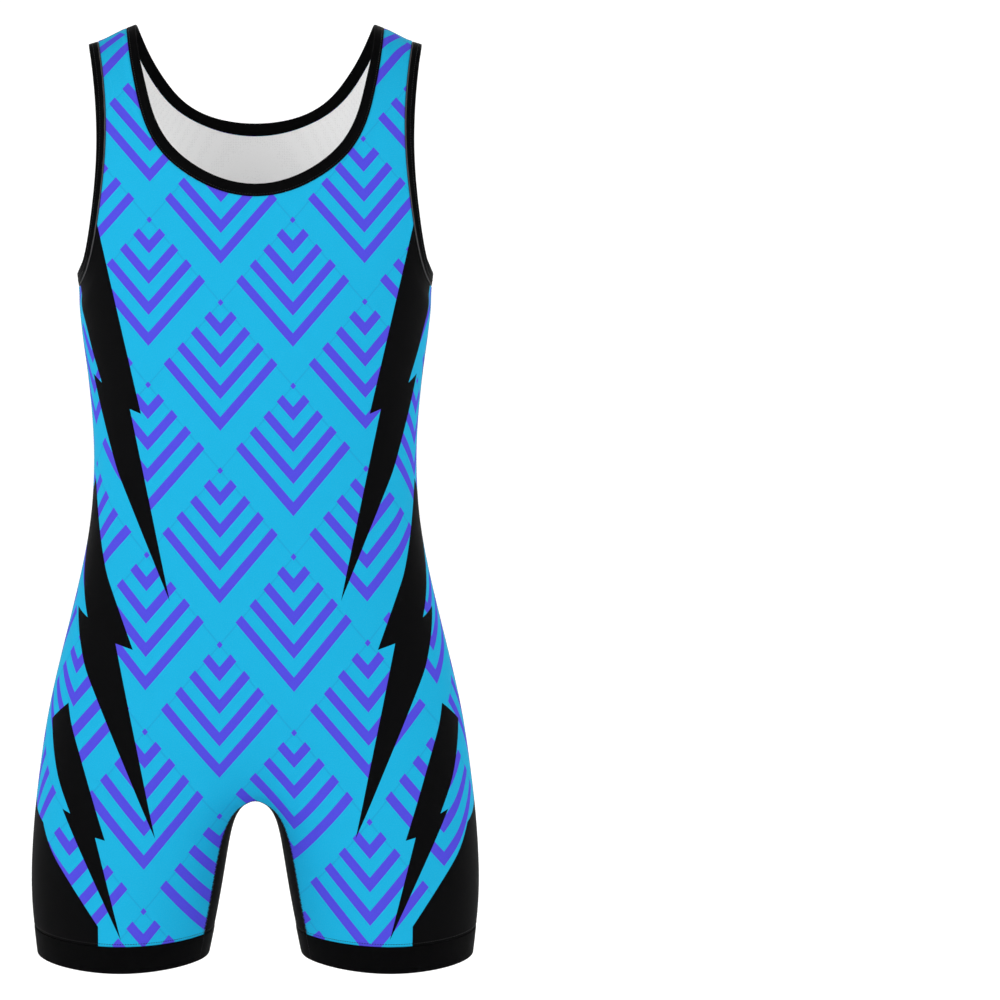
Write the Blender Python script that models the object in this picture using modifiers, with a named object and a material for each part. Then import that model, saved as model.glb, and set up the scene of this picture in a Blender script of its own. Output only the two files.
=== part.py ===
"""A hollow wrestling suit, standing as if filled out by a wearer who is not there.

Metres, +Z up.  The origin is level with the top of the two shoulder straps, midway
between them; the front of the suit faces -Y and the wearer's left is +X.

The suit is drawn once as a whole form: a cage of stations down the body, split into the
pieces a maker cuts.  The cage is smoothed, parted at the seams, and each piece is then
given the thickness of its cloth.
"""

import math

import bmesh
import bpy
import numpy as np

MM = 0.001

# Cloth, mm
PANEL_WALL = 1.2          # stretch cloth, one layer
FOLDED_WALL = 2.2         # folded binding or turned-up band
PROUD = 0.5               # how far a binding or band stands off the panel's face
SEAM_PULL = 0.15          # each piece stops this short of its seam line

# Whole form, mm
BODY_ROUND = 2.35         # 2 is an ellipse, more is squarer
LEG_ROUND = 1.8           # the same at the leg band, which tapers to its side and inner lines
WAIST_Z = -392.0
FORK_Z = -600.0           # the body starts to part into legs here
CROTCH_Z = -714.0
BAND_TOP_Z = -841.0
HEM_Z = -868.0
BAND_TOP_DIP = {"front": 4.5, "back": 0.5}    # how far the middle of the leg hangs lower
HEM_DIP = {"front": 2.7, "back": 0.5}
BAND_TOP_INNER_DIP = 4.0  # how far the band's top falls to the inner line
FRONT_SHOULDER = 130.0    # height over which the front rounds over to the shoulder
BACK_SHOULDER = 112.0

# Shoulder seam, mm: both ends of the strap, with its bindings
STRAP_NECK_X, STRAP_NECK_Z = 109.6, 3.0
STRAP_ARM_X, STRAP_ARM_Z = 154.3, -11.0

# Inner-leg piece: how far round the leg it reaches from the innermost line, degrees
GUSSET_FRONT, GUSSET_BACK = 25.0, 28.0

NECK_HOLD = 0.24          # share of a neckline's bend that the smoothing takes back

# How the cage is drawn, as shares and powers
FORK_LATENESS = 2.7       # the legs part slowly at first, then fully at the crotch
STRAP_MARGIN = 0.25       # first line inside a strap's edge, in widths of its binding
CHEST_MARGIN = 0.9        # the same at the foot of the neck and armhole
CENTRE_CROWDING = 0.3     # rows lie closer toward the crotch on the centre line
INSEAM_CROWDING = 1.5     # and closer toward the crotch on the inner leg
CROTCH_HOLLOW = 0.92      # the crotch line is this much shorter than the leg ring
CROTCH_RISE = 1.5         # mm that its ends stand above its middle
INSEAM_HOLD = (1.0, 0.5, 0.2, 0.05, 0.0, 0.0)     # rows below the crotch held to the inner line
NO_GROWTH = 1e-6          # held by nothing, and not let out for the smoothing

# Cage counts
COLS = 7                  # side seam to centre line
STRAP_ROWS = 8
CHEST_ROWS = 5
HIP_ROWS = 9
LEG_ROWS = 5
GUSSET_HALF = 2

# Stations down the body: height, half width, depth of the front, depth of the back
BODY_COLUMNS = ("z", "half_width", "front", "back")
BODY = (
    (0, 183, 90, 84),
    (-60, 183, 93, 90),
    (-120, 181, 96, 96),
    (-180, 176, 101, 98),
    (-245, 167, 104, 96),
    (-300, 158.5, 101, 89),
    (-350, 152.5, 97, 85),
    (-410, 150, 95, 85),
    (-466, 154.5, 96, 94),
    (-522, 166.5, 98, 104),
    (-578, 180.5, 100, 111),
    (-634, 194, 100, 113),
    (-690, 202.5, 98, 111),
    (-717, 206, 96, 107),
    (-765, 210.5, 92, 99),
    (-815, 212, 88, 93),
    (-868, 206.7, 84, 88),
)

# Stations down a leg: height, depth of the front, depth of the back
LEG_COLUMNS = ("z", "front", "back")
LEG = (
    (-540, 95, 104),
    (-600, 96, 108),
    (-660, 96, 109),
    (-714, 94, 105),
    (-765, 91, 98),
    (-815, 88, 92),
    (-868, 84, 87),
)

# Inner line of the leg, under the crotch: height, distance from the centre line
INSEAM_COLUMNS = ("z", "x")
INSEAM = (
    (-714, 0),
    (-718, 6.5),
    (-721.5, 11),
    (-729, 16.5),
    (-744, 20.9),
    (-767, 24.6),
    (-800, 29.5),
    (-832, 35.3),
    (-868, 42.8),
)

# Armhole, shoulder to underarm: its open edge, then the edge of the cloth under the binding
ARMHOLE_COLUMNS = ("open_z", "open_front", "open_back", "cloth_z", "cloth_front", "cloth_back")
ARMHOLE = (
    (-11.0, 154.3, 154.3, -7.8, 144.2, 144.2),
    (-31.0, 150.2, 154.0, -31.0, 138.3, 142.0),
    (-60.0, 146.2, 147.8, -60.0, 134.9, 135.1),
    (-100.0, 143.9, 142.9, -100.0, 133.6, 131.2),
    (-140.0, 145.2, 144.8, -143.0, 137.3, 134.0),
    (-177.0, 150.8, 149.8, -183.0, 144.0, 141.5),
    (-205.0, 153.8, 157.3, -213.0, 148.7, 150.2),
    (-222.0, 158.6, 162.5, -232.0, 154.8, 157.0),
    (-234.0, 167.8, 167.8, -245.0, 167.0, 167.0),
)

# Neckline curves, shoulder to centre: distance from the centre line, height
NECK_COLUMNS = ("x", "z")
NECK = {
    ("front", "open"): (
        (109.6, 3.0), (108.2, -13.0), (105.0, -30.0), (100.4, -47.0), (94.0, -73.0),
        (87.4, -90.0), (78.7, -104.5), (65.8, -117.5), (46.0, -130.5), (24.0, -139.5), (0.0, -142.8),
    ),
    ("front", "cloth"): (
        (120.4, -0.4), (117.7, -13.9), (114.3, -35.9), (109.4, -57.6), (104.8, -75.5),
        (99.0, -93.0), (88.2, -111.4), (74.0, -126.0), (50.0, -141.5), (25.5, -151.3), (0.0, -154.6),
    ),
    ("back", "open"): (
        (109.6, 3.0), (105.3, -10.0), (99.3, -23.0), (94.0, -34.0), (86.8, -45.0),
        (79.0, -56.3), (69.0, -67.3), (50.0, -79.6), (26.0, -86.8), (0.0, -89.2),
    ),
    ("back", "cloth"): (
        (120.4, -0.4), (117.3, -13.0), (109.5, -30.0), (101.2, -45.0), (92.6, -58.5),
        (79.5, -73.3), (62.5, -85.5), (38.0, -95.7), (19.0, -100.3), (0.0, -101.7),
    ),
}

PIECES = (
    "front_panel",
    "back_panel",
    "gusset",
    "neck_binding",
    "armhole_binding_left",
    "armhole_binding_right",
    "leg_band_left",
    "leg_band_right",
)

# Wall of each piece and how far it stands off the form, by the first word of its name
WALLS = {
    "front": (PANEL_WALL, 0.0),
    "back": (PANEL_WALL, 0.0),
    "gusset": (PANEL_WALL, 0.0),
    "neck": (FOLDED_WALL, PROUD),
    "armhole": (FOLDED_WALL, PROUD),
    "leg": (FOLDED_WALL, PROUD),
}

CLOTHS = {
    "printed_cloth": ((0.019, 0.462, 0.776, 1.0), 0.62),
    "black_cloth": ((0.006, 0.006, 0.006, 1.0), 0.66),
}


def clear_scene():
    for item in list(bpy.data.objects):
        bpy.data.objects.remove(item, do_unlink=True)
    for mesh in list(bpy.data.meshes):
        bpy.data.meshes.remove(mesh)


def curve_through(table, columns, key, name):
    """A smooth curve through one column of a table, as a function of the key column."""
    k, v = columns.index(key), columns.index(name)
    pairs = sorted((row[k], row[v]) for row in table)
    at = np.array([p[0] for p in pairs], float)
    to = np.array([p[1] for p in pairs], float)
    slope = np.gradient(to, at)

    def value(x):
        x = min(max(x, at[0]), at[-1])
        i = min(max(int(np.searchsorted(at, x)) - 1, 0), len(at) - 2)
        span = at[i + 1] - at[i]
        t = (x - at[i]) / span
        return (
            to[i] * (1 + 2 * t) * (1 - t) ** 2
            + slope[i] * span * t * (1 - t) ** 2
            + to[i + 1] * t * t * (3 - 2 * t)
            - slope[i + 1] * span * t * t * (1 - t)
        )

    return value


half_width = curve_through(BODY, BODY_COLUMNS, "z", "half_width")
depth_of = {face: curve_through(BODY, BODY_COLUMNS, "z", face) for face in ("front", "back")}
leg_depth_of = {face: curve_through(LEG, LEG_COLUMNS, "z", face) for face in ("front", "back")}
inseam_x = curve_through(INSEAM, INSEAM_COLUMNS, "z", "x")


def mix(a, b, t):
    return a + (b - a) * t


def ease(t):
    t = min(max(t, 0.0), 1.0)
    return t * t * (3 - 2 * t)


def power_cos(angle, power):
    c = math.cos(angle)
    return math.copysign(abs(c) ** (2 / power), c) if abs(c) > 1e-9 else 0.0


def power_sin(angle, power):
    s = math.sin(angle)
    return math.copysign(abs(s) ** (2 / power), s) if abs(s) > 1e-9 else 0.0


def drawn_in(step):
    """The smoothing draws a ring of this angular step inward; the cage is let out by it."""
    return 1 / (1 - (1 - math.cos(step)) / 4)


def shoulder_z(x):
    part = (x - STRAP_NECK_X) / (STRAP_ARM_X - STRAP_NECK_X)
    return mix(STRAP_NECK_Z, STRAP_ARM_Z, part)


def toward(face):
    return -1.0 if face == "front" else 1.0


def upper_point(face, x, z):
    """A point of the chest or a strap, from where it is seen from the front."""
    reach = FRONT_SHOULDER if face == "front" else BACK_SHOULDER
    drop = min(max((shoulder_z(x) - z) / reach, 0.0), 1.0)
    rounding = math.sqrt(1 - (1 - drop) ** 2)
    grow = drawn_in(math.radians(90 / COLS))
    across = min(x / (half_width(z) * grow), 1.0)
    side = (1 - across**BODY_ROUND) ** (1 / BODY_ROUND)
    return (x, toward(face) * depth_of[face](z) * rounding * side * grow, z)


def body_point(face, col, z):
    """A point of the trunk, on the ring at height z."""
    angle = math.radians(90 * col / COLS)
    grow = drawn_in(math.radians(90 / COLS))
    x = half_width(z) * grow * power_cos(angle, BODY_ROUND)
    y = toward(face) * depth_of[face](z) * grow * power_sin(angle, BODY_ROUND)
    parting = min(max((FORK_Z - z) / (FORK_Z - CROTCH_Z), 0.0), 1.0) ** FORK_LATENESS
    if parting > 0:
        lobe = leg_point(face, panel_angle(face, col), z)
        x, y = mix(x, lobe[0], parting), mix(y, lobe[1], parting)
    if col == COLS:
        x = 0.0
    return (x, y, z)


def panel_angle(face, col):
    edge = GUSSET_FRONT if face == "front" else GUSSET_BACK
    return math.radians((180 - edge) * col / COLS)


def leg_point(face, angle, z, squeeze=0.0):
    """A point of the leg ring; angle 0 is the outer side, 180 degrees the inner line."""
    inner, outer = inseam_x(z), half_width(z)
    centre, radius = (inner + outer) / 2, (outer - inner) / 2
    grow = drawn_in(math.radians(160 / COLS)) if squeeze == 0 else 1.0
    roundness = mix(BODY_ROUND, LEG_ROUND, ease((CROTCH_Z - z) / (CROTCH_Z - BAND_TOP_Z)))
    x = centre + radius * power_cos(angle, roundness) * grow
    x = mix(x, inner, squeeze)
    y = toward(face) * leg_depth_of[face](z) * grow * power_sin(angle, roundness)
    return (x, y, z)


def band_top_z(face, angle):
    inner = ease((angle / math.pi - 0.5) * 2)
    return BAND_TOP_Z - BAND_TOP_DIP[face] * math.sin(angle) - BAND_TOP_INNER_DIP * inner


def hem_z(face, angle):
    return HEM_Z - HEM_DIP[face] * math.sin(angle)


def spread(points, count):
    """Even stations along a path, by its length."""
    path = np.array(points, float)
    run = np.concatenate([[0], np.cumsum(np.linalg.norm(np.diff(path, axis=0), axis=1))])
    at = np.linspace(0, run[-1], count + 1)
    return [tuple(np.interp(at, run, path[:, k])[i] for k in range(3)) for i in range(count + 1)]


def through(points, steps=12):
    """A smooth path through level, upright points that ends square to the centre line."""
    ends = [(2 * np.array(points[0]) - points[1])] + list(points)
    ends = np.array([*ends, (-points[-2][0], points[-2][1])], float)
    path = []
    for i in range(1, len(ends) - 2):
        p0, p1, p2, p3 = ends[i - 1:i + 3]
        for t in np.arange(steps) / steps:
            path.append(
                0.5 * (2 * p1 + (p2 - p0) * t + (2 * p0 - 5 * p1 + 4 * p2 - p3) * t**2
                       + (3 * p1 - p0 - 3 * p2 + p3) * t**3)
            )
    return [*path, ends[-2]]


def neck_edge(face, edge):
    """Stations along a neckline, held out by as much as the smoothing draws them in."""
    table = NECK[(face, edge)]
    path = np.array(spread([upper_point(face, x, z) for x, z in through(table)], STRAP_ROWS))
    beyond = np.vstack([path, path[-2] * (-1, 1, 1)])
    path[1:] -= (beyond[:-2] - 2 * beyond[1:-1] + beyond[2:]) * NECK_HOLD
    path[0] = (table[0][0], 0.0, shoulder_z(table[0][0]))
    return [tuple(float(v) for v in p) for p in path]


def armhole_edge(face, edge):
    to_x = curve_through(ARMHOLE, ARMHOLE_COLUMNS, edge + "_z", edge + "_" + face)
    z_col = ARMHOLE_COLUMNS.index(edge + "_z")
    top, low = ARMHOLE[0][z_col], ARMHOLE[-1][z_col]
    path = [upper_point(face, to_x(z), z) for z in np.linspace(top, low, 161)]
    points = spread(path, STRAP_ROWS)
    x0, x1 = to_x(top), to_x(low)
    points[0] = (x0, 0.0, shoulder_z(x0))
    points[-1] = (x1 * drawn_in(math.radians(90 / COLS)), 0.0, low)
    return points


def beside(face, open_edge, cloth_edge, col):
    """A line inside the panel that keeps its edge smooth: close in on the strap, a binding's
    width away lower down."""
    line = []
    for i, (o, c) in enumerate(zip(open_edge, cloth_edge)):
        reach = mix(STRAP_MARGIN, CHEST_MARGIN, ease(i / STRAP_ROWS))
        x, z = c[0] + reach * (c[0] - o[0]), c[2] + reach * (c[2] - o[2])
        line.append((x, 0.0, shoulder_z(x)) if i == 0 else upper_point(face, x, z))
    line[-1] = body_point(face, col, line[-1][2])
    return line


def strap_grid(face):
    """Rows from the shoulder seam to the chest line, armhole opening to neck opening.

    The last row is the chest line, which slants from the underarm to the neckline.
    """
    arm_open, arm_cloth = armhole_edge(face, "open"), armhole_edge(face, "cloth")
    neck_open, neck_cloth = neck_edge(face, "open"), neck_edge(face, "cloth")
    arm_line = beside(face, arm_open, arm_cloth, 0)
    neck_line = beside(face, neck_open, neck_cloth, COLS)
    chest = []
    for col in range(COLS + 1):
        z = arm_line[-1][2]
        for _ in range(6):
            out = body_point(face, col, z)[0] / arm_line[-1][0]
            z = mix(neck_line[-1][2], arm_line[-1][2], out)
        chest.append(body_point(face, col, z))
    rows = []
    for i in range(STRAP_ROWS):
        row = [arm_open[i], arm_cloth[i], arm_line[i]]
        for col in range(1, COLS):
            late = 1 - chest[col][0] / chest[0][0]
            part = mix(col / COLS, late, ease(i / STRAP_ROWS))
            x = mix(arm_line[i][0], neck_line[i][0], part)
            z = mix(arm_line[i][2], neck_line[i][2], part)
            row.append((x, 0.0, shoulder_z(x)) if i == 0 else upper_point(face, x, z))
        rows.append(row + [neck_line[i], neck_cloth[i], neck_open[i]])
    rows.append([arm_open[-1], arm_cloth[-1], *chest, neck_cloth[-1], neck_open[-1]])
    return rows


def trunk_grid(face):
    """Rows from the chest line to the crotch, side seam to centre line."""
    chest = strap_grid(face)[-1][2:-2]
    rows = []
    for i in range(CHEST_ROWS):
        row = [body_point(face, c, mix(chest[c][2], WAIST_Z, i / CHEST_ROWS)) for c in range(COLS + 1)]
        rows.append(row)
    for i in range(HIP_ROWS + 1):
        row = []
        for col in range(COLS + 1):
            bend = 1 + CENTRE_CROWDING * (col / COLS) ** 2
            part = 1 - (1 - i / HIP_ROWS) ** bend
            row.append(body_point(face, col, mix(WAIST_Z, CROTCH_Z, part)))
        rows.append(row)
    rows[0] = chest
    rows[-1] = [body_point(face, c, CROTCH_Z) for c in range(COLS)] + [crotch_point(face, 0)]
    return rows


def leg_z(row, face, angle, inward):
    part = row / LEG_ROWS
    return mix(CROTCH_Z, band_top_z(face, angle), mix(part, part**INSEAM_CROWDING, inward))


def crotch_point(face, step):
    """A point of the inner-leg piece's middle row; step 0 is its edge at this face."""
    edge = GUSSET_FRONT if face == "front" else GUSSET_BACK
    angle = math.radians(180 - edge * (1 - step / GUSSET_HALF))
    x, y, z = leg_point(face, angle, CROTCH_Z, squeeze=1.0)
    return (0.0, y * CROTCH_HOLLOW, z + CROTCH_RISE * (1 - step / GUSSET_HALF))


def leg_grid(face):
    """Rows from the crotch to the hem: the panel, then its half of the inner-leg piece."""
    edge = GUSSET_FRONT if face == "front" else GUSSET_BACK
    panel = [panel_angle(face, col) for col in range(COLS + 1)]
    inner = [math.radians(180 - edge * (1 - s / GUSSET_HALF)) for s in range(1, GUSSET_HALF + 1)]
    rows = []
    for i in range(LEG_ROWS + 1):
        row = []
        for col, angle in enumerate(panel):
            z = leg_z(i, face, angle, (col / COLS) ** 2)
            hold = INSEAM_HOLD[i] if col == COLS else 0.0
            row.append(leg_point(face, angle, z, hold))
        for angle in inner:
            z = leg_z(i, face, angle, 1.0)
            row.append(leg_point(face, angle, z, max(INSEAM_HOLD[i], NO_GROWTH)))
        rows.append(row)
    rows[0] = trunk_grid(face)[-1] + [crotch_point(face, s) for s in range(1, GUSSET_HALF + 1)]
    hem = [leg_point(face, angle, hem_z(face, angle)) for angle in panel]
    hem += [leg_point(face, angle, hem_z(face, angle), NO_GROWTH) for angle in inner]
    return rows + [hem]


def whole_cage():
    """Every face of the suit, each marked with the piece that it belongs to."""
    points, lookup, faces = [], {}, []

    def corner(p, side):
        key = (round(p[0] * side, 4) + 0.0, round(p[1], 4) + 0.0, round(p[2], 4) + 0.0)
        if key not in lookup:
            lookup[key] = len(points)
            points.append(tuple(v * MM for v in key))
        return lookup[key]

    def patch(rows, first, last, side, face, piece, start=0, stop=None):
        for upper, lower in zip(rows[start:stop], rows[start + 1:stop]):
            for c in range(first, last):
                loop = [upper[c], upper[c + 1], lower[c + 1], lower[c]]
                loop = [corner(p, side) for p in loop]
                outward = (side > 0) == (face == "front")
                faces.append((loop if outward else loop[::-1], PIECES.index(piece)))

    for face in ("front", "back"):
        strap, trunk, leg = strap_grid(face), trunk_grid(face), leg_grid(face)
        for side, hand in ((1, "left"), (-1, "right")):
            panel = face + "_panel"
            patch(strap, 0, 1, side, face, "armhole_binding_" + hand)
            patch(strap, 1, COLS + 3, side, face, panel)
            patch(strap, COLS + 3, COLS + 4, side, face, "neck_binding")
            patch(trunk, 0, COLS, side, face, panel)
            patch(leg, 0, COLS, side, face, panel, 0, LEG_ROWS + 1)
            patch(leg, COLS, COLS + GUSSET_HALF, side, face, "gusset", 0, LEG_ROWS + 1)
            patch(leg, 0, COLS + GUSSET_HALF, side, face, "leg_band_" + hand, LEG_ROWS)
    return points, faces


def smooth_form():
    """The cage, smoothed once; each face keeps the number of its piece."""
    points, faces = whole_cage()
    mesh = bpy.data.meshes.new("form")
    mesh.from_pydata(points, [], [loop for loop, _ in faces])
    for _ in PIECES:
        mesh.materials.append(None)
    for polygon, (_, piece) in zip(mesh.polygons, faces):
        polygon.material_index = piece
    form = bpy.data.objects.new("form", mesh)
    bpy.context.scene.collection.objects.link(form)
    soft = form.modifiers.new("soft", "SUBSURF")
    soft.levels = soft.render_levels = 1
    soft.boundary_smooth = "PRESERVE_CORNERS"
    graph = bpy.context.evaluated_depsgraph_get()
    smoothed = bpy.data.meshes.new_from_object(form.evaluated_get(graph))
    bpy.data.objects.remove(form, do_unlink=True)
    bpy.data.meshes.remove(mesh)
    return smoothed


def cut_piece(form, number, wall, proud):
    """One piece of the form, stopped short of its seam lines and given its wall.

    The wall stands square to the whole form, so neighbouring pieces keep their gap right
    through the cloth.
    """
    work = bmesh.new()
    work.from_mesh(form)
    square = work.verts.layers.float_vector.new("square")
    for v in work.verts:
        v[square] = v.normal
    others = [f for f in work.faces if f.material_index != number]
    bmesh.ops.delete(work, geom=others, context="FACES")
    rim = bmesh.ops.inset_region(
        work, faces=work.faces[:], thickness=SEAM_PULL * MM, use_boundary=True, use_even_offset=True
    )
    bmesh.ops.delete(work, geom=rim["faces"], context="FACES")
    for v in work.verts:
        v.co += v[square] * proud * MM
    inner = bmesh.ops.extrude_face_region(work, geom=work.faces[:], use_keep_orig=True)
    for v in inner["geom"]:
        if isinstance(v, bmesh.types.BMVert):
            v.co -= v[square] * wall * MM
    bmesh.ops.recalc_face_normals(work, faces=work.faces[:])
    for f in work.faces:
        f.material_index = 0
        f.smooth = True
    mesh = bpy.data.meshes.new(PIECES[number])
    work.to_mesh(mesh)
    work.free()
    mesh.attributes.remove(mesh.attributes["square"])
    return mesh


def cloth(name):
    colour, roughness = CLOTHS[name]
    material = bpy.data.materials.new(name)
    material.use_nodes = True
    surface = material.node_tree.nodes["Principled BSDF"]
    surface.inputs["Base Color"].default_value = colour
    surface.inputs["Roughness"].default_value = roughness
    surface.inputs["Metallic"].default_value = 0.0
    material.diffuse_color = colour
    return material


def build():
    clear_scene()
    group = bpy.data.collections.new("wrestling_suit")
    bpy.context.scene.collection.children.link(group)
    root = bpy.data.objects.new("suit", None)
    group.objects.link(root)
    cloths = {name: cloth(name) for name in CLOTHS}
    form = smooth_form()
    for number, piece in enumerate(PIECES):
        wall, proud = WALLS[piece.split("_")[0]]
        mesh = cut_piece(form, number, wall, proud)
        item = bpy.data.objects.new(piece, mesh)
        group.objects.link(item)
        item.parent = root
        mesh.materials.clear()
        mesh.materials.append(cloths["printed_cloth" if piece.endswith("panel") else "black_cloth"])
    bpy.data.meshes.remove(form)


build()
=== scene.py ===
"""A wrestling suit in printed stretch cloth, filled out as if worn.

Each cut piece of the suit is taken from its solid, smoothed to a thin skin of cloth and sewn
to its neighbours.  The print runs on the cloth of the two body pieces.
"""

import math

import bmesh
import bpy
from mathutils import Matrix, Quaternion, Vector
from mathutils.bvhtree import BVHTree


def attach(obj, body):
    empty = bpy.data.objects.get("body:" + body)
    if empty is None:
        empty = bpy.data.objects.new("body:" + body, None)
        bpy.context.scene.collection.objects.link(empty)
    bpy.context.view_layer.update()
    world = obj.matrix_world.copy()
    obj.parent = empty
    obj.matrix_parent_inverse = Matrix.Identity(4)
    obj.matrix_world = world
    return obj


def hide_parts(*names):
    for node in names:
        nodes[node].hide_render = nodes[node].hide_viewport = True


MM = 0.001

# The body that the cloth lies round, metres
CROTCH_Z = -0.714
LEG_AXIS_X = 0.125
FORK_Z = -0.600           # the body begins to part into legs here
SHOULDER_REACH = {"front": 0.130, "back": 0.112}    # the cloth turns over the shoulder above this
SHOULDER_DEPTH = 0.085
STRAP_TOP_Z, STRAP_SLOPE, STRAP_MIDDLE_X = 0.003, 0.3043, 0.1105
AXIS_REACH = 0.002        # closer than this to the middle, cloth isn't measured round the body

# Cloth and its edges, metres
CLOTH_WALL = 0.0012
KNIT_PITCH, KNIT_DEPTH = 0.0007, 0.00012
LET_OUT = 0.00025         # a panel reaches this much further into its seams than its solid
TURN_WIDTH = 0.0016       # margin rolled under along a seam
TURN_DEPTH = 0.0004
FOLD_RADIUS = 0.00105     # the fold of a binding or a turned-up band
EDGE_RADIUS = 0.0005      # its other, sewn edge
SEAM_REACH = 0.0015       # edges closer than this are sewn together
WALL_RIM = math.radians(50)    # a solid's surface turns by more than this at the rims of its wall
CORNER = -0.7             # cosine between the two sides of an edge where it turns a corner

# Stitches, metres
STITCH_PITCH = 0.0025
STITCH_LENGTH, STITCH_WIDTH, STITCH_HEIGHT = 0.0020, 0.0008, 0.0006
SEAM_ROW = 0.0015         # each row of a flat seam lies this far from the seam line
BINDING_ROW = 0.0058      # rows on the bindings, from their sewn edge
NECK_ROW = 0.0022
BAND_ROW = 0.0026         # row on the leg, above the band
BAND_JOIN = (0.051, -0.03)     # where a band's ends are joined: out from the centre, forward
SHOULDER_LOW = -0.05      # seams above this are the shoulder seams
PROBE = 0.004

# Print: rows of diamonds down the cloth and columns across it
ROW_START_Z = -175.6
ROW_STEP, ROW_GROWTH = 73.2, 0.78
COLUMN_PITCH, COLUMN_GROWTH = 129.0, 0.01584
PANEL_PRINT = {
    # column of the first diamond, row shift
    "front_panel": (0.260, 0.0),
    "back_panel": (0.233, 0.07),
}
BARS = ((0.1246, 0.2066), (0.3100, 0.3920), (0.4976, 0.5796), (0.6845, 0.7665))
BAR_END = 0.021
DOT = 0.021
CELL_LINE = 0.007         # half width of the faint line round each diamond
HOLD_ACROSS = 8.0         # the print follows the cloth round the body past this much slack, mm
HOLD_UP = 10.0            # and over the shoulder past this much

# Black flashes, by their convex parts: distance from the centre line and height, mm
FLASHES = (
    ((200, -215), (147, -165), (104, -352), (141, -338)),
    ((163, -318), (116, -340), (78, -522)),
    ((208, -446), (168, -416), (112, -568), (152, -556)),
    ((180, -534), (130, -554), (92, -742)),
    ((204, -640), (176, -622), (138, -744), (164, -737)),
    ((178, -718), (150, -730), (124, -838)),
    ((320, -690), (206, -735), (145, -826), (145, -900), (320, -900)),
)

# Soft troughs pressed into the stretched cloth, mm: both ends as (out from the centre, height),
# half width, depth, and the share of that depth on the other side of the body
TROUGHS = {
    "front_panel": (
        ((14, -702), (82, -655), 11, 1.1, 0.8),
        ((9, -690), (58, -606), 12, 0.8, 1.2),
        ((44, -742), (128, -722), 10, 0.9, 0.7),
        ((178, -262), (118, -300), 11, 0.9, 1.1),
        ((172, -290), (124, -342), 12, 0.7, 0.6),
    ),
    "back_panel": (
        ((12, -704), (88, -676), 11, 1.2, 0.9),
        ((8, -688), (52, -600), 13, 1.0, 0.8),
        ((50, -744), (134, -728), 11, 0.8, 1.2),
        ((176, -262), (112, -296), 11, 0.9, 0.8),
        ((150, -392), (74, -402), 12, 0.8, 0.7),
    ),
}

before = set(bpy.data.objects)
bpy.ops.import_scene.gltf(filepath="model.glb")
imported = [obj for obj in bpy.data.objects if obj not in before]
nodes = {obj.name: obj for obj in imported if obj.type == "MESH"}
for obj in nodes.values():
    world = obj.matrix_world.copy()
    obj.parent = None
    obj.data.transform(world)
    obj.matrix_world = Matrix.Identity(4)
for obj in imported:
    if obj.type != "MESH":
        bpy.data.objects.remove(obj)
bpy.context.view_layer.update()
solids = {}


# Cloth shapes


def merged(name):
    """A copy of a solid's mesh, as quads."""
    work = bmesh.new()
    work.from_mesh(nodes[name].data)
    bmesh.ops.remove_doubles(work, verts=work.verts, dist=1e-5)
    bmesh.ops.join_triangles(
        work,
        faces=work.faces,
        angle_face_threshold=math.radians(40),
        angle_shape_threshold=math.radians(70),
    )
    return work


def solid_tree(name):
    work = merged(name)
    tree = BVHTree.FromBMesh(work)
    work.free()
    return tree


def neighbour(name, point):
    """The piece that lies closest to a point of another piece's edge, if it is sewn there."""
    found, reach = None, SEAM_REACH
    for other, tree in solids.items():
        distance = tree.find_nearest(point)[3] if other != name else reach
        if distance < reach:
            found, reach = other, distance
    return found


def outward(point):
    """The level direction out of the body, or out of the leg below the crotch."""
    if point.z > CROTCH_Z:
        return Vector((point.x, point.y, 0.0))
    return Vector((point.x - math.copysign(LEG_AXIS_X, point.x), point.y, 0.0))


def facing(faces):
    """How far faces look out of the body, by their area."""
    return sum(f.calc_area() * f.normal.dot(outward(f.calc_center_median())) for f in faces)


def even_sides(work):
    """The side whose faces lie smoother stands for both, by mirroring it."""
    bends = {1.0: 0.0, -1.0: 0.0}
    for edge in work.edges:
        side = edge.verts[0].co.x + edge.verts[1].co.x
        if edge.is_manifold and side:
            bends[math.copysign(1.0, side)] += edge.calc_face_angle(0.0) ** 2
    rough = max(bends, key=bends.get)
    gone = [f for f in work.faces if f.calc_center_median().x * rough > 0]
    bmesh.ops.delete(work, geom=gone, context="FACES")
    whole = work.verts[:] + work.edges[:] + work.faces[:]
    bmesh.ops.mirror(work, geom=whole, matrix=Matrix.Identity(4), merge_dist=1e-5, axis="X")
    bmesh.ops.recalc_face_normals(work, faces=work.faces)
    if facing(work.faces) < 0:
        bmesh.ops.reverse_faces(work, faces=work.faces)


def outer_skin(name):
    """The outer face of a solid's wall, alone."""
    work = merged(name)
    left, regions = set(work.faces), []
    while left:
        first = left.pop()
        region, queue = [first], [first]
        while queue:
            for edge in queue.pop().edges:
                if edge.is_manifold and edge.calc_face_angle(0.0) < WALL_RIM:
                    for face in edge.link_faces:
                        if face in left:
                            left.discard(face)
                            region.append(face)
                            queue.append(face)
        regions.append(region)
    keep = set(max(regions, key=facing))
    bmesh.ops.delete(work, geom=[f for f in work.faces if f not in keep], context="FACES")
    if min(v.co.x for v in work.verts) < 0 < max(v.co.x for v in work.verts):
        even_sides(work)
    return work


def edge_direction(vert):
    """Square out of the cloth's edge, in the cloth."""
    away = Vector()
    for edge in vert.link_edges:
        if edge.is_boundary:
            face = edge.link_faces[0]
            middle = (edge.verts[0].co + edge.verts[1].co) / 2
            side = (edge.verts[1].co - edge.verts[0].co).cross(face.normal).normalized()
            if side.dot(face.calc_center_median() - middle) > 0:
                side.negate()
            away += side
    return away.normalized()


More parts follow.
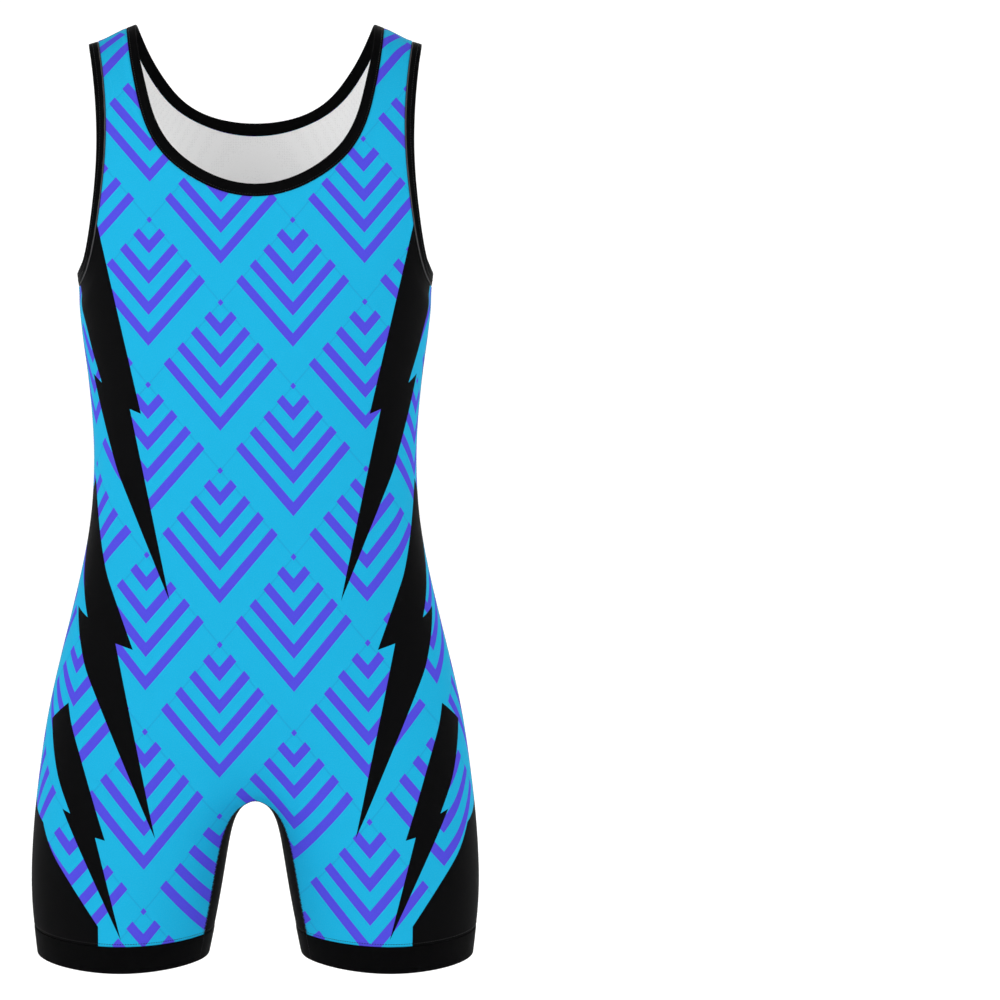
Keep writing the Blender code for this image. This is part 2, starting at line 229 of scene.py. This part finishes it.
def let_out(work, reach):
    """Each free edge of the cloth moves outward, in the cloth."""
    work.normal_update()
    moves = {v: edge_direction(v) * reach for v in work.verts if v.is_boundary}
    for vert, move in moves.items():
        vert.co += move


def is_corner(vert):
    """True where the edge of the cloth turns sharply."""
    sides = [(e.other_vert(vert).co - vert.co).normalized() for e in vert.link_edges if e.is_boundary]
    return len(sides) == 2 and sides[0].dot(sides[1]) > CORNER


def turn_under(work):
    """A narrow margin along each edge, rolled under as at a sewn seam; its corners stay sharp."""
    bmesh.ops.inset_region(
        work, faces=work.faces[:], thickness=TURN_WIDTH, use_boundary=True, use_even_offset=True
    )
    work.normal_update()
    sharp = work.verts.layers.float.new("crease_vert")
    for corner in [v for v in work.verts if v.is_boundary and is_corner(v)]:
        corner[sharp] = 1.0
        for edge in corner.link_edges:
            if not edge.is_boundary:
                edge.other_vert(corner)[sharp] = 1.0
    moves = {v: v.normal * TURN_DEPTH for v in work.verts if v.is_boundary}
    for vert, move in moves.items():
        vert.co -= move


def edge_loops(edges):
    """Closed loops of vertices, in order. Each starts at the same place in every run."""
    left, loops = dict.fromkeys(edges), []
    while left:
        first, _ = left.popitem()
        start, vert = first.verts
        loop = [start]
        while vert != start:
            loop.append(vert)
            edge = next(e for e in vert.link_edges if e in left)
            del left[edge]
            vert = edge.other_vert(vert)
        loops.append(loop)
    return loops


def smoothed(work):
    """The cloth with its faces divided and smoothed once, for finer shaping."""
    rough = bpy.data.meshes.new("rough")
    work.to_mesh(rough)
    shape = bpy.data.objects.new("rough", rough)
    bpy.context.scene.collection.objects.link(shape)
    soft = shape.modifiers.new("soft", "SUBSURF")
    soft.levels = soft.render_levels = 1
    soft.boundary_smooth = "PRESERVE_CORNERS"
    fine = bpy.data.meshes.new_from_object(shape.evaluated_get(bpy.context.evaluated_depsgraph_get()))
    work.clear()
    work.from_mesh(fine)
    sharp = work.verts.layers.float.get("crease_vert")
    for vert in work.verts:
        vert[sharp] = float(vert[sharp] > 0.99)
    bpy.data.objects.remove(shape, do_unlink=True)
    for mesh in (rough, fine):
        bpy.data.meshes.remove(mesh)


def press_troughs(work, name):
    """Shallow troughs where the stretched cloth is drawn in, fading out at their ends."""
    work.normal_update()
    moves = {}
    for vert in work.verts:
        spot = Vector((abs(vert.co.x), vert.co.z)) / MM
        depth = 0.0
        for start, stop, width, deep, other in TROUGHS[name]:
            first, run = Vector(start), Vector(stop) - Vector(start)
            part = (spot - first).dot(run) / run.length_squared
            if 0 < part < 1:
                off = (spot - first - run * part).length / width
                share = 1.0 if vert.co.x > 0 else other
                depth += deep * share * math.sin(math.pi * part) * math.exp(-off * off)
        moves[vert] = vert.normal * depth * MM
    for vert, move in moves.items():
        vert.co -= move


# Places on the cloth and in the print


def run_along(tree, centre, first, last, steps=14):
    """Length of the cloth from one direction to another, seen from a centre; and its start."""
    turn = first.rotation_difference(last)
    hits = []
    for i in range(steps + 1):
        ray = first.copy()
        ray.rotate(Quaternion().slerp(turn, i / steps))
        hit = tree.ray_cast(centre, ray)[0]
        if hit is not None:
            hits.append(hit)
    length = sum((b - a).length for a, b in zip(hits, hits[1:]))
    return length, (hits[0] if hits else None)


def cloth_place(tree, face, point):
    """Where a point of a body piece lies on the flat cloth: across and up, metres."""
    toward = Vector((0.0, -1.0 if face == "front" else 1.0, 0.0))
    side = math.copysign(1.0, point.x)
    fork = min(max((FORK_Z - point.z) / (FORK_Z - CROTCH_Z), 0.0), 1.0)
    axis_x = LEG_AXIS_X * fork * fork * (3 - 2 * fork)
    centre = Vector((side * axis_x, 0.0, point.z))
    last = point - centre
    last.z = 0.0
    across = abs(point.x)
    if abs(point.x) > axis_x + AXIS_REACH:
        length, start = run_along(tree, centre, toward, last.normalized())
        if start is not None:
            across += max(abs(start.x) + length - across - HOLD_ACROSS * MM, 0.0)
    reach = SHOULDER_REACH[face]
    top = STRAP_TOP_Z - STRAP_SLOPE * (abs(point.x) - STRAP_MIDDLE_X)
    rise = point.z - (top - reach)
    up = point.z
    if rise > 0:
        angle = math.asin(min(rise / reach, 1.0))
        steps = 24
        arc = sum(
            math.hypot(reach * math.cos(a), SHOULDER_DEPTH * math.sin(a)) * angle / steps
            for a in ((i + 0.5) * angle / steps for i in range(steps))
        )
        up += max(arc - rise - HOLD_UP * MM, 0.0)
    return side * across, up


def print_place(name, across, up):
    """Column and row of the print at a place on the cloth."""
    first, shift = PANEL_PRINT[name]
    x, z = across / MM, up / MM
    if name == "back_panel":
        x = -x
    below = ROW_START_Z - z
    row = (-ROW_STEP + math.sqrt(ROW_STEP**2 + 4 * ROW_GROWTH * below)) / (2 * ROW_GROWTH)
    pitch = COLUMN_PITCH + COLUMN_GROWTH * below
    return x / pitch - first, row + shift


def lay_print(work, name):
    """Stores the two maps of a body piece: place on the cloth, and place in the print."""
    tree = BVHTree.FromBMesh(work)
    face = name.split("_")[0]
    cloth_map = work.loops.layers.uv.new("cloth")
    print_map = work.loops.layers.uv.new("print")
    for vert in work.verts:
        across, up = cloth_place(tree, face, vert.co)
        placed = print_place(name, across, up)
        for loop in vert.link_loops:
            loop[cloth_map].uv = (across, up)
            loop[print_map].uv = placed


# Materials


class Weaver:
    """Makes a material's nodes, one call each."""

    def __init__(self, name):
        self.material = bpy.data.materials.new(name)
        self.material.use_nodes = True
        self.tree = self.material.node_tree
        self.surface = self.tree.nodes["Principled BSDF"]

    def put(self, kind, inputs=(), out=0, **settings):
        node = self.tree.nodes.new(kind)
        for key, value in settings.items():
            setattr(node, key, value)
        for key, value in dict(inputs).items():
            if isinstance(value, bpy.types.NodeSocket):
                self.tree.links.new(value, node.inputs[key])
            else:
                node.inputs[key].default_value = value
        return node.outputs[out]

    def sum(self, operation, *values):
        return self.put("ShaderNodeMath", enumerate(values), operation=operation)

    def dot(self, place, direction):
        return self.put(
            "ShaderNodeVectorMath", {0: place, 1: direction}, out="Value", operation="DOT_PRODUCT"
        )

    def mix(self, part, first, second):
        return self.put(
            "ShaderNodeMix", {0: part, 6: first, 7: second}, out=2, data_type="RGBA"
        )

    def set(self, **inputs):
        for key, value in inputs.items():
            socket = self.surface.inputs[key.replace("_", " ")]
            if isinstance(value, bpy.types.NodeSocket):
                self.tree.links.new(value, socket)
            else:
                socket.default_value = value


def map_of(w, name):
    return w.put("ShaderNodeUVMap", uv_map=name)


def knit(w, place):
    """Fine knitted columns and courses, as a bump."""
    scaled = w.put(
        "ShaderNodeVectorMath", {0: place, "Scale": 1 / KNIT_PITCH}, operation="SCALE"
    )
    apart = w.put("ShaderNodeSeparateXYZ", {0: scaled})
    x, y = apart, apart.node.outputs[1]
    column = w.sum("PINGPONG", x, 0.5)
    leg = w.sum("MULTIPLY_ADD", column, 1.2, y)
    course = w.sum("PINGPONG", leg, 0.5)
    height = w.sum("ADD", w.sum("MULTIPLY", column, 0.8), course)
    return w.put(
        "ShaderNodeBump",
        {"Strength": 0.35, "Distance": KNIT_DEPTH, "Height": height},
    )


def diamond_masks(w, place):
    """1 on the nested bars and dots of the repeating print; and 1 on the line round a diamond."""
    skew = {}
    for key, direction in (("a", (1.0, 0.5, 0.0)), ("b", (-1.0, 0.5, 0.0))):
        along = w.dot(place, direction)
        skew[key] = w.sum("FRACT", w.sum("ADD", along, BAR_END))
    bar = w.sum("MAXIMUM", skew["a"], skew["b"])
    on = None
    for start, stop in BARS:
        middle, half = (start + stop) / 2 + BAR_END, (stop - start) / 2
        inside = w.sum("COMPARE", bar, middle, half)
        on = inside if on is None else w.sum("MAXIMUM", on, inside)
    dot_a = w.sum("COMPARE", skew["a"], BAR_END, DOT)
    dot_b = w.sum("COMPARE", skew["b"], BAR_END, DOT)
    edge_a = w.sum("COMPARE", skew["a"], BAR_END, CELL_LINE)
    edge_b = w.sum("COMPARE", skew["b"], BAR_END, CELL_LINE)
    bars = w.sum("MAXIMUM", on, w.sum("MULTIPLY", dot_a, dot_b))
    return bars, w.sum("MAXIMUM", edge_a, edge_b)


def flash_mask(w, place):
    """1 on the black flashes, alike on both sides of the centre line."""
    folded = w.put("ShaderNodeVectorMath", {0: place}, operation="ABSOLUTE")
    across = w.put("ShaderNodeSeparateXYZ", {0: folded})
    up = w.put("ShaderNodeSeparateXYZ", {0: place}).node.outputs[1]
    spot = w.put("ShaderNodeCombineXYZ", {0: across, 1: up, 2: 1.0})
    on = None
    for part in FLASHES:
        middle = [sum(p[k] for p in part) / len(part) * MM for k in (0, 1)]
        inside = None
        for p, q in zip(part, part[1:] + part[:1]):
            p, q = [v * MM for v in p], [v * MM for v in q]
            nx, ny = q[1] - p[1], p[0] - q[0]
            size = math.hypot(nx, ny)
            nx, ny = nx / size, ny / size
            if nx * (middle[0] - p[0]) + ny * (middle[1] - p[1]) < 0:
                nx, ny = -nx, -ny
            depth = w.dot(spot, (nx, ny, -(nx * p[0] + ny * p[1])))
            inside = depth if inside is None else w.sum("MINIMUM", inside, depth)
        on = inside if on is None else w.sum("MAXIMUM", on, inside)
    return w.sum("GREATER_THAN", on, 0.0)


def printed_cloth():
    w = Weaver("printed_stretch_cloth")
    cloth_at, print_at = map_of(w, "cloth"), map_of(w, "print")
    blue = (0.011, 0.432, 0.718, 1.0)
    line_blue = (0.012, 0.372, 0.665, 1.0)
    violet = (0.084, 0.070, 0.718, 1.0)
    black = (0.0030, 0.0030, 0.0033, 1.0)
    bars, line = diamond_masks(w, print_at)
    dyed = w.mix(line, blue, line_blue)
    dyed = w.mix(bars, dyed, violet)
    uptake = w.put("ShaderNodeTexNoise", {"Vector": cloth_at, "Scale": 900.0, "Detail": 2.0})
    paler = w.mix(0.035, dyed, (1.0, 1.0, 1.0, 1.0))
    dyed = w.mix(w.put("ShaderNodeMapRange", {0: uptake, 1: 0.45, 2: 0.75, 4: 0.35}), dyed, paler)
    dyed = w.mix(flash_mask(w, cloth_at), dyed, black)
    w.set(Base_Color=dyed, Roughness=0.65, Specular_IOR_Level=0.02)
    w.set(Normal=knit(w, cloth_at))
    return w.material


def black_cloth():
    """Black stretch cloth with a fine rib; its edges catch a little light."""
    w = Weaver("black_stretch_cloth")
    place = w.put("ShaderNodeTexCoord", out="Object")
    tone = w.put("ShaderNodeTexNoise", {"Vector": place, "Scale": 1100.0, "Detail": 2.0})
    w.set(Base_Color=w.mix(tone, (0.0012, 0.0012, 0.0013, 1.0), (0.0028, 0.0028, 0.0031, 1.0)))
    w.set(Roughness=0.7, Specular_IOR_Level=0.02)
    w.set(Sheen_Weight=0.015, Sheen_Roughness=0.35)
    grain = w.put("ShaderNodeTexVoronoi", {"Vector": place, "Scale": 1250.0})
    w.set(Normal=w.put("ShaderNodeBump", {"Strength": 0.3, "Distance": 0.0001, "Height": grain}))
    return w.material


def pale_knit():
    """The undyed inside of the cloth: pale, with rows of tiny holes painted darker as shade in them."""
    w = Weaver("pale_knit_inside")
    place = w.put("ShaderNodeTexCoord", out="Object")
    holes = w.put("ShaderNodeTexVoronoi", {"Vector": place, "Scale": 620.0, "Randomness": 0.35})
    shaded_pit = w.put("ShaderNodeMapRange", {0: holes, 1: 0.05, 2: 0.4})
    # darker in the holes: painted shade
    w.set(Base_Color=w.mix(shaded_pit, (0.80, 0.80, 0.805, 1.0), (0.96, 0.96, 0.96, 1.0)))
    w.set(Roughness=0.9, Specular_IOR_Level=0.1)
    w.set(Normal=w.put("ShaderNodeBump", {"Strength": 0.4, "Distance": 0.00015, "Height": shaded_pit}))
    return w.material


def binding_edge_highlight():
    """The sewn edge of a binding, as a fine pale line: a painted highlight where the raised edge catches
    light.
    """
    w = Weaver("binding_edge_highlight")
    place = w.put("ShaderNodeTexCoord", out="Object")
    tone = w.put("ShaderNodeTexNoise", {"Vector": place, "Scale": 700.0, "Detail": 2.0})
    w.set(Base_Color=w.mix(tone, (0.045, 0.045, 0.047, 1.0), (0.085, 0.085, 0.088, 1.0)))
    w.set(Roughness=0.8, Specular_IOR_Level=0.1)
    return w.material


def black_thread():
    w = Weaver("black_thread")
    place = w.put("ShaderNodeTexCoord", out="Object")
    ply = w.put("ShaderNodeTexWave", {"Vector": place, "Scale": 900.0, "Distortion": 2.0})
    w.set(Base_Color=w.mix(ply, (0.0035, 0.0035, 0.004, 1.0), (0.012, 0.012, 0.013, 1.0)))
    w.set(Roughness=0.5, Specular_IOR_Level=0.2)
    w.set(Normal=w.put("ShaderNodeBump", {"Strength": 0.3, "Distance": 0.00005, "Height": ply}))
    return w.material


CLOTHS = {
    "print": printed_cloth(),
    "inside": pale_knit(),
    "black": black_cloth(),
    # painted highlight along the sewn edge of the armhole bindings
    "painted_highlight": binding_edge_highlight(),
    "thread": black_thread(),
}


# Pieces


def finish_piece(work, name, materials, wall=None, levels=2):
    """The working mesh becomes a piece of the suit that stands for its solid."""
    mesh = bpy.data.meshes.new(name + "_cloth")
    for face in work.faces:
        face.smooth = True
    work.to_mesh(mesh)
    work.free()
    for key in materials:
        mesh.materials.append(CLOTHS[key])
    piece = bpy.data.objects.new(name + "_cloth", mesh)
    bpy.context.scene.collection.objects.link(piece)
    soft = piece.modifiers.new("soft", "SUBSURF")
    soft.levels = soft.render_levels = levels
    soft.boundary_smooth = "PRESERVE_CORNERS"
    if wall:
        thick = piece.modifiers.new("wall", "SOLIDIFY")
        thick.thickness = wall
        thick.offset = -1.0
        thick.material_offset = 1 if len(materials) > 1 else 0
        thick.material_offset_rim = 0
    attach(piece, "root")
    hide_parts(name)
    return piece


def panel(name):
    work = outer_skin(name)
    let_out(work, LET_OUT)
    turn_under(work)
    smoothed(work)
    press_troughs(work, name)
    lay_print(work, name)
    return finish_piece(work, name, ["print", "inside"], CLOTH_WALL, levels=1)


def gusset():
    work = outer_skin("gusset")
    let_out(work, LET_OUT)
    turn_under(work)
    return finish_piece(work, "gusset", ["black", "inside"], CLOTH_WALL)


def rim_edges(loop):
    """The edges of a loop of vertices."""
    pairs = [set(pair) for pair in zip(loop, loop[1:] + loop[:1])]
    return [e for v in loop for e in v.link_edges if set(e.verts) in pairs]


def folded_strip(name):
    """A binding or turned-up band: its open edge is a full round fold, its sewn edge is thin."""
    work = merged(name)
    work.normal_update()
    rims = [e for e in work.edges if e.calc_face_angle(0.0) > WALL_RIM]
    folds, seams = [], []
    for loop in edge_loops(rims):
        near = sum(neighbour(name, v.co) is not None for v in loop)
        (seams if near > len(loop) / 2 else folds).append(loop)
    seams.sort(key=lambda loop: sum(outward(v.co).length for v in loop) / len(loop))
    rounds = [(loop, FOLD_RADIUS, 3, 0) for loop in folds] + [(seams[0], EDGE_RADIUS, 2, 0)]
    # the rounded sewn edge of an armhole binding takes the second material, a painted highlight
    rounds.append((seams[-1], EDGE_RADIUS, 2, 1 if name.startswith("armhole") else 0))
    for geom, radius, segments, material in [(rim_edges(r[0]), *r[1:]) for r in rounds]:
        rounded = bmesh.ops.bevel(
            work,
            geom=list(dict.fromkeys(geom)),
            offset=radius,
            offset_type="OFFSET",
            segments=segments,
            profile=0.5,
            affect="EDGES",
            clamp_overlap=True,
            material=-1,
        )
        for face in rounded["faces"]:
            face.material_index = material
    return finish_piece(work, name, ["black", "painted_highlight"], levels=1)


# Seams and stitches


def edge_path(loop, closed):
    """Places along an edge: the point, the way out of the edge and the way off the cloth."""
    path = []
    for i, vert in enumerate(loop):
        before = loop[i - 1] if closed or i > 0 else vert
        after = loop[(i + 1) % len(loop)] if closed or i < len(loop) - 1 else vert
        along = (after.co - before.co).normalized()
        out = edge_direction(vert)
        out = (out - along * out.dot(along)).normalized()
        path.append((vert.co.copy(), out, vert.normal.copy()))
    return path + path[:1] if closed else path


def seams_of(name):
    """Stretches of a piece's edge, each with the name of the piece that it is sewn to."""
    work = outer_skin(name)
    work.normal_update()
    stretches = []
    for loop in edge_loops(e for e in work.edges if e.is_boundary):
        sides = [neighbour(name, v.co) for v in loop]
        turns = [i for i in range(len(loop)) if sides[i] != sides[i - 1]]
        for first, last in zip(turns, turns[1:] + [len(loop) + turns[0]] if turns else []):
            part = [loop[i % len(loop)] for i in range(first, last)]
            stretches.append((sides[first], edge_path(part, closed=False)))
    return stretches


def sewn_rim(name):
    """The whole sewn edge of a binding or band, as one closed path."""
    work = outer_skin(name)
    work.normal_update()
    loops = edge_loops(e for e in work.edges if e.is_boundary)
    loop = max(loops, key=lambda loop: sum(neighbour(name, v.co) is not None for v in loop))
    return edge_path(loop, closed=True)


def places_along(path):
    """Even places along a path, a stitch apart, each with its direction."""
    runs = [0.0]
    for (p, _, _), (q, _, _) in zip(path, path[1:]):
        runs.append(runs[-1] + (q - p).length)
    count = max(round(runs[-1] / STITCH_PITCH), 1)
    places, i = [], 0
    for k in range(count):
        at = (k + 0.5) * runs[-1] / count
        while runs[i + 1] < at:
            i += 1
        part = (at - runs[i]) / (runs[i + 1] - runs[i])
        point, out, off = (a.lerp(b, part) for a, b in zip(path[i], path[i + 1]))
        along = path[i + 1][0] - path[i][0]
        places.append((point, out.normalized(), off.normalized(), along.normalized()))
    return places


def on_cloth(point, off):
    """The place on the outermost cloth under a point."""
    hits = []
    for tree in surfaces:
        spot, _, _, distance = tree.ray_cast(point + off * PROBE, -off, 2 * PROBE)
        if spot is not None:
            hits.append((distance, spot))
    return min(hits, key=lambda hit: hit[0])[1] if hits else point


def add_stitch(work, start, stop, off):
    """One stitch: a low bead of thread from start to stop."""
    along = stop - start
    size = Matrix.Diagonal((along.length, STITCH_WIDTH, STITCH_HEIGHT, 1.0))
    along.normalize()
    across = off.cross(along).normalized()
    turn = Matrix((along, across, along.cross(across))).transposed().to_4x4()
    place = Matrix.Translation((start + stop) / 2)
    bmesh.ops.create_icosphere(work, subdivisions=1, radius=0.5, matrix=place @ turn @ size)


def stitch_row(work, path, shift):
    """A row of stitches beside an edge, this far out of it."""
    for point, out, off, along in places_along(path):
        middle = on_cloth(point + out * shift, off)
        half = along * STITCH_LENGTH / 2
        add_stitch(work, middle - half, middle + half, off)


def crossing_threads(work, path):
    """Threads that run to and fro over a seam, from one row to the other."""
    places = places_along(path)
    for k, (point, out, off, _) in enumerate(places[:-1]):
        side = SEAM_ROW if k % 2 else -SEAM_ROW
        after, after_out, after_off, _ = places[k + 1]
        start = on_cloth(point + out * side, off)
        stop = on_cloth(after - after_out * side, after_off)
        add_stitch(work, start, stop, off)


def sew(name, paths, rows, crossing=False):
    """One piece of sewing: rows of stitches along each path."""
    work = bmesh.new()
    for path in paths:
        for shift in rows:
            stitch_row(work, path, shift)
        if crossing:
            crossing_threads(work, path)
    for face in work.faces:
        face.smooth = True
    mesh = bpy.data.meshes.new(name)
    work.to_mesh(mesh)
    work.free()
    mesh.materials.append(CLOTHS["thread"])
    thread = bpy.data.objects.new(name, mesh)
    bpy.context.scene.collection.objects.link(thread)
    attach(thread, "root")


def closing_path(name):
    """A short upright path on a band where its two ends are joined, at the inner front."""
    side = 1.0 if name.endswith("left") else -1.0
    work = outer_skin(name)
    work.normal_update()
    path = []
    for loop in edge_loops(e for e in work.edges if e.is_boundary):
        spot = Vector((side * BAND_JOIN[0], BAND_JOIN[1], loop[0].co.z))
        vert = min(loop, key=lambda v: (v.co - spot).length)
        off = vert.normal.copy()
        path.append((vert.co.copy(), off.cross(Vector((0, 0, 1))).normalized(), off))
    return path


def sew_all():
    """Flat seams between the panels, and the rows that hold the bindings and bands."""
    flat = (-SEAM_ROW, SEAM_ROW)
    for face in ("front", "back"):
        inner = [path for other, path in seams_of("gusset") if other == face + "_panel"]
        sew("gusset_seam_" + face, inner, flat, crossing=True)
    for hand, side in (("left", 1.0), ("right", -1.0)):
        joins = [
            path
            for other, path in seams_of("front_panel")
            if other == "back_panel" and path[0][0].x * side > 0
        ]
        sew("side_seam_" + hand, [p for p in joins if p[0][0].z < SHOULDER_LOW], flat, crossing=True)
        sew("shoulder_seam_" + hand, [p for p in joins if p[0][0].z > SHOULDER_LOW], flat, crossing=True)
        sew("armhole_stitches_" + hand, [sewn_rim("armhole_binding_" + hand)], (-BINDING_ROW,))
        sew("leg_band_stitches_" + hand, [sewn_rim("leg_band_" + hand)], (BAND_ROW,))
        sew("leg_band_join_" + hand, [closing_path("leg_band_" + hand)], (0.0,))
    sew("neck_stitches", [sewn_rim("neck_binding")], (-NECK_ROW,))


solids.update({name: solid_tree(name) for name in nodes})
pieces = {name: panel(name) for name in ("front_panel", "back_panel")}
pieces["gusset"] = gusset()
for name in nodes:
    if name not in pieces:
        pieces[name] = folded_strip(name)
graph = bpy.context.evaluated_depsgraph_get()
surfaces = [BVHTree.FromObject(piece, graph) for piece in pieces.values()]
sew_all()

# Stage, light and camera

FLOOR_RADIUS, FLOOR_SWEEP, FLOOR_DROP = 5.0, 3.0, 1.45
WALL_TOP = 7.0
STAGE_MIDDLE = Vector((0.0, 0.0, 1.5))
GLOW_START, GLOW_FULL, GLOW = 1.9, 2.6, 0.34    # the floor glows faintly, but not under the suit


def pale(name, colour):
    w = Weaver(name)
    place = w.put("ShaderNodeTexCoord", out="Object")
    tone = w.put("ShaderNodeTexNoise", {"Vector": place, "Scale": 0.4, "Detail": 1.0})
    other = [c * 0.99 for c in colour[:3]] + [1.0]
    w.set(Base_Color=w.mix(tone, colour, other), Roughness=0.9)
    away = w.put("ShaderNodeVectorMath", {0: place}, out="Value", operation="LENGTH")
    glow = w.put("ShaderNodeMapRange", {0: away, 1: GLOW_START, 2: GLOW_FULL, 4: GLOW})
    w.set(Emission_Color=(1.0, 1.0, 1.0, 1.0), Emission_Strength=glow)
    w.material.cycles.emission_sampling = "NONE"
    return w.material


def studio_floor():
    """A round floor whose edge sweeps up, far outside the suit."""
    work = bmesh.new()
    profile = [Vector((0.0, 0.0, 0.0)), Vector((FLOOR_RADIUS, 0.0, 0.0))]
    for i in range(1, 13):
        angle = math.radians(90 * i / 12)
        out = FLOOR_RADIUS + FLOOR_SWEEP * math.sin(angle)
        profile.append(Vector((out, 0.0, FLOOR_SWEEP - FLOOR_SWEEP * math.cos(angle))))
    profile.append(Vector((FLOOR_RADIUS + FLOOR_SWEEP, 0.0, WALL_TOP)))
    verts = [work.verts.new(p) for p in profile]
    edges = [work.edges.new(pair) for pair in zip(verts, verts[1:])]
    bmesh.ops.spin(
        work,
        geom=verts + edges,
        cent=(0, 0, 0),
        axis=(0, 0, 1),
        angle=2 * math.pi,
        steps=64,
        use_merge=True,
    )
    bmesh.ops.remove_doubles(work, verts=work.verts, dist=1e-5)
    bmesh.ops.translate(work, verts=work.verts, vec=(0, 0, -FLOOR_DROP))
    for face in work.faces:
        face.smooth = True
        if face.normal.dot(STAGE_MIDDLE - face.calc_center_median()) < 0:
            face.normal_flip()
    mesh = bpy.data.meshes.new("studio_floor")
    work.to_mesh(mesh)
    work.free()
    mesh.materials.append(pale("pale_floor", (0.93, 0.93, 0.93, 1.0)))
    floor = bpy.data.objects.new("studio_floor", mesh)
    bpy.context.scene.collection.objects.link(floor)


def soft_light(name, place, aim, size, power):
    data = bpy.data.lights.new(name, "AREA")
    data.shape = "DISK"
    data.size = size
    data.energy = power
    light = bpy.data.objects.new(name, data)
    light.location = place
    light.rotation_euler = (Vector(aim) - Vector(place)).to_track_quat("-Z", "Y").to_euler()
    bpy.context.scene.collection.objects.link(light)


def studio():
    studio_floor()
    world = bpy.data.worlds.new("studio_air")
    world.use_nodes = True
    air = world.node_tree.nodes["Background"]
    air.inputs["Color"].default_value = (1.0, 1.0, 1.0, 1.0)
    air.inputs["Strength"].default_value = 0.38
    bpy.context.scene.world = world
    middle = (0, 0, -0.43)
    soft_light("key", (-2.3, -3.0, 1.3), middle, 2.0, 32)
    soft_light("fill", (2.2, -3.0, 0.4), middle, 2.4, 6)
    soft_light("back", (0.6, 3.4, 1.4), middle, 2.4, 24)
    bpy.context.scene.view_settings.view_transform = "Standard"


def camera():
    data = bpy.data.cameras.new("camera")
    data.lens = 128.0
    data.sensor_width = 36.0
    data.shift_x = 0.2447
    eye, aim = Vector((0.0, -3.3, -0.088)), Vector((0.0, 0.0, -0.439))
    view = bpy.data.objects.new("camera", data)
    view.location = eye
    view.rotation_euler = (aim - eye).to_track_quat("-Z", "Y").to_euler()
    bpy.context.scene.collection.objects.link(view)
    bpy.context.scene.camera = view


studio()
camera()
